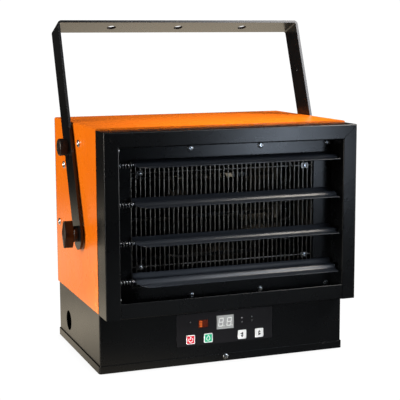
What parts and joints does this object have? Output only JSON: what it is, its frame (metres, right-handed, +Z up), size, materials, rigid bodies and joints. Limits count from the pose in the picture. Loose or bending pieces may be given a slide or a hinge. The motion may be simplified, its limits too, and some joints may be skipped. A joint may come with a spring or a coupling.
{
  "type": "ceiling mounted fan heater",
  "caption": "Box-shaped electric fan heater with tilting louvres, a wire guard and a button panel, hung from a flat-bar yoke with clamping knobs.",
  "frame": {"origin": "middle of the base tray's underside", "axes": "+Z up, the air leaves towards -Y, +X to the right seen from the front"},
  "size_m": [0.4054, 0.263, 0.4615],
  "materials": {
    "orange_powder_coat": "semi-gloss",
    "black_powder_coat": "satin",
    "louvre_coat": "satin",
    "galvanised_steel": "satin",
    "guard_wire": "satin",
    "overlay_plastic": "matte",
    "display_plastic": "gloss",
    "indicator_lens": "gloss",
    "led_lens": "gloss",
    "red_button": "gloss",
    "green_button": "gloss",
    "white_button": "gloss",
    "circuit_board": "matte",
    "dark_plastic": "matte",
    "knob_plastic": "matte",
    "nylon": "matte",
    "zinc_plate": "satin",
    "fan_aluminium": "satin",
    "motor_paint": "satin",
    "ground_steel": "satin",
    "element_steel": "satin",
    "ceramic": "matte",
    "brass": "satin"
  },
  "bodies": {
    "heater": {"outer_shell": "orange_powder_coat", "rear_panel": "black_powder_coat", "rear_fan_guard": "black_powder_coat", "frame_top_rail": "black_powder_coat", "frame_left_stile": "black_powder_coat", "frame_right_stile": "black_powder_coat", "frame_bottom_rail": "black_powder_coat", "outlet_plate": "black_powder_coat", "air_duct": "galvanised_steel", "outlet_guard": "guard_wire", "louvre_spring_1": "zinc_plate", "louvre_spring_2": "zinc_plate", "louvre_spring_3": "zinc_plate", "louvre_spring_4": "zinc_plate", "base_box": "black_powder_coat", "base_tray": "black_powder_coat", "base_deck": "galvanised_steel", "control_overlay": "overlay_plastic", "display_module": "display_plastic", "indicator_window": "indicator_lens", "status_leds": "led_lens", "control_board": "circuit_board", "key_switches": "dark_plastic", "board_spacers": "brass", "pivot_washers": "nylon", "weld_nuts": "zinc_plate", "fan_shroud": "galvanised_steel", "fan_motor": "motor_paint", "motor_strap": "galvanised_steel", "heating_element_1": "element_steel", "heating_element_2": "element_steel", "heating_element_3": "element_steel", "element_support": "galvanised_steel", "thermal_cutout": "ceramic", "terminal_block": "ceramic", "contactor": "dark_plastic", "ground_lug": "brass", "tilt_screws": "zinc_plate", "cover_screws": "zinc_plate", "guard_screws": "zinc_plate", "inner_screws": "zinc_plate"},
    "yoke": {"ceiling_yoke": "black_powder_coat"},
    "pivot_knob_left": {"pivot_knob_left": "knob_plastic"},
    "pivot_knob_right": {"pivot_knob_right": "knob_plastic"},
    "lock_knob_left": {"lock_knob_left": "dark_plastic"},
    "lock_knob_right": {"lock_knob_right": "dark_plastic"},
    "fan": {"fan_blade": "fan_aluminium", "motor_shaft": "ground_steel"},
    "button_power": {"button_power": "red_button"},
    "button_mode": {"button_mode": "green_button"},
    "button_up": {"button_up": "white_button"},
    "button_down": {"button_down": "white_button"},
    "louvre_1": {"louvre_1": "louvre_coat", "louvre_rod_1": "zinc_plate"},
    "louvre_2": {"louvre_2": "louvre_coat", "louvre_rod_2": "zinc_plate"},
    "louvre_3": {"louvre_3": "louvre_coat", "louvre_rod_3": "zinc_plate"},
    "louvre_4": {"louvre_4": "louvre_coat", "louvre_rod_4": "zinc_plate"}
  },
  "joints": [
    {"name": "yoke_tilt", "type": "hinge", "parent": "heater", "child": "yoke", "pos_m": [0, -0.032, 0.175], "axis": [-1, 0, 0], "range_deg": [-20.8, 70.2]},
    {"name": "pivot_knob_left_turn", "type": "hinge", "parent": "heater", "child": "pivot_knob_left", "pos_m": [-0.19, -0.032, 0.175], "axis": [-1, 0, 0], "range_deg": [0, 360]},
    {"name": "lock_knob_left_turn", "type": "hinge", "parent": "yoke", "child": "lock_knob_left", "pos_m": [-0.19, 0.01132, 0.28905], "axis": [-1, 0, 0], "range_deg": [0, 360]},
    {"name": "pivot_knob_right_turn", "type": "hinge", "parent": "heater", "child": "pivot_knob_right", "pos_m": [0.19, -0.032, 0.175], "axis": [1, 0, 0], "range_deg": [0, 360]},
    {"name": "lock_knob_right_turn", "type": "hinge", "parent": "yoke", "child": "lock_knob_right", "pos_m": [0.19, 0.01132, 0.28905], "axis": [1, 0, 0], "range_deg": [0, 360]},
    {"name": "louvre_1_tilt", "type": "hinge", "parent": "heater", "child": "louvre_1", "pos_m": [0, -0.131, 0.27605], "axis": [1, 0, 0], "range_deg": [-53, 62]},
    {"name": "louvre_2_tilt", "type": "hinge", "parent": "heater", "child": "louvre_2", "pos_m": [0, -0.131, 0.22565], "axis": [1, 0, 0], "range_deg": [-58, 57]},
    {"name": "louvre_3_tilt", "type": "hinge", "parent": "heater", "child": "louvre_3", "pos_m": [0, -0.131, 0.17525], "axis": [1, 0, 0], "range_deg": [-56, 59]},
    {"name": "louvre_4_tilt", "type": "hinge", "parent": "heater", "child": "louvre_4", "pos_m": [0, -0.131, 0.12485], "axis": [1, 0, 0], "range_deg": [-66, 49]},
    {"name": "button_power_press", "type": "slide", "parent": "heater", "child": "button_power", "axis": [0, 1, 0], "range_m": [0, 0.001], "stiffness_N_per_m": 600, "springref_m": -0.0005},
    {"name": "button_mode_press", "type": "slide", "parent": "heater", "child": "button_mode", "axis": [0, 1, 0], "range_m": [0, 0.001], "stiffness_N_per_m": 600, "springref_m": -0.0005},
    {"name": "button_up_press", "type": "slide", "parent": "heater", "child": "button_up", "axis": [0, 1, 0], "range_m": [0, 0.001], "stiffness_N_per_m": 600, "springref_m": -0.0005},
    {"name": "button_down_press", "type": "slide", "parent": "heater", "child": "button_down", "axis": [0, 1, 0], "range_m": [0, 0.001], "stiffness_N_per_m": 600, "springref_m": -0.0005},
    {"name": "fan_spin", "type": "hinge", "parent": "heater", "child": "fan", "pos_m": [-0.0012, 0.03, 0.19535], "axis": [0, 1, 0], "continuous": true}
  ]
}
